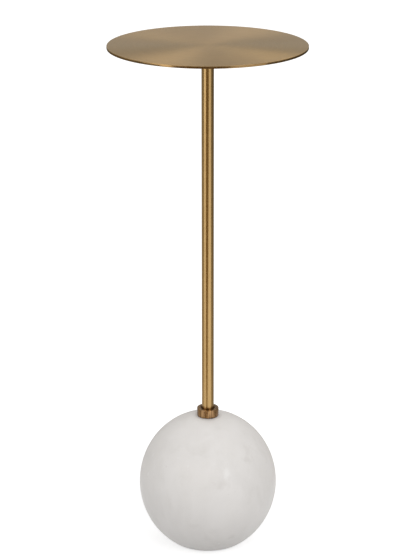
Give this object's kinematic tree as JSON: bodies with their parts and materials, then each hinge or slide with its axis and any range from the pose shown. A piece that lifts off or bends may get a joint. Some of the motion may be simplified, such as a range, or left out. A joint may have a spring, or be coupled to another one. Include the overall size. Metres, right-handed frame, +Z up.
{
  "type": "wine table",
  "caption": "Small wine table: a thin round brushed brass top on a slim brass post with a turned collar, standing in a white stone ball that is flat underneath.",
  "frame": {"origin": "on the floor, at the centre of the pad under the ball", "axes": "+Z up along the post; the part is round about Z apart from its screws, welds, split washers and nut, so X and Y are free, with the screws on the diagonals"},
  "size_m": [0.254, 0.254, 0.68],
  "materials": {
    "spun_brass": "antique, brushed in circles, satin",
    "brushed_brass": "antique, brushed along the tube, satin",
    "dark_brass": "darkened, turned, satin",
    "plated_steel": "antique brass plating over welded steel, dull",
    "zinc_steel": "zinc plated",
    "white_marble": "honed white marble with faint cloudy veins",
    "black_rubber": "matt black rubber"
  },
  "bodies": {
    "root": {"top_disc": "spun_brass", "backing_plate": "plated_steel", "backing_plate_welds": "plated_steel", "post_flange": "plated_steel", "flange_weld": "plated_steel", "flange_screws": "zinc_steel", "flange_spring_washers": "zinc_steel", "flange_flat_washers": "zinc_steel", "post_tube": "brushed_brass", "post_plug": "zinc_steel", "collar": "dark_brass", "seat_gasket": "black_rubber", "marble_ball": "white_marble", "tie_rod": "zinc_steel", "recess_gasket": "black_rubber", "recess_washer": "zinc_steel", "lock_washer": "zinc_steel", "tie_nut": "zinc_steel", "floor_pad": "black_rubber"}
  },
  "joints": []
}
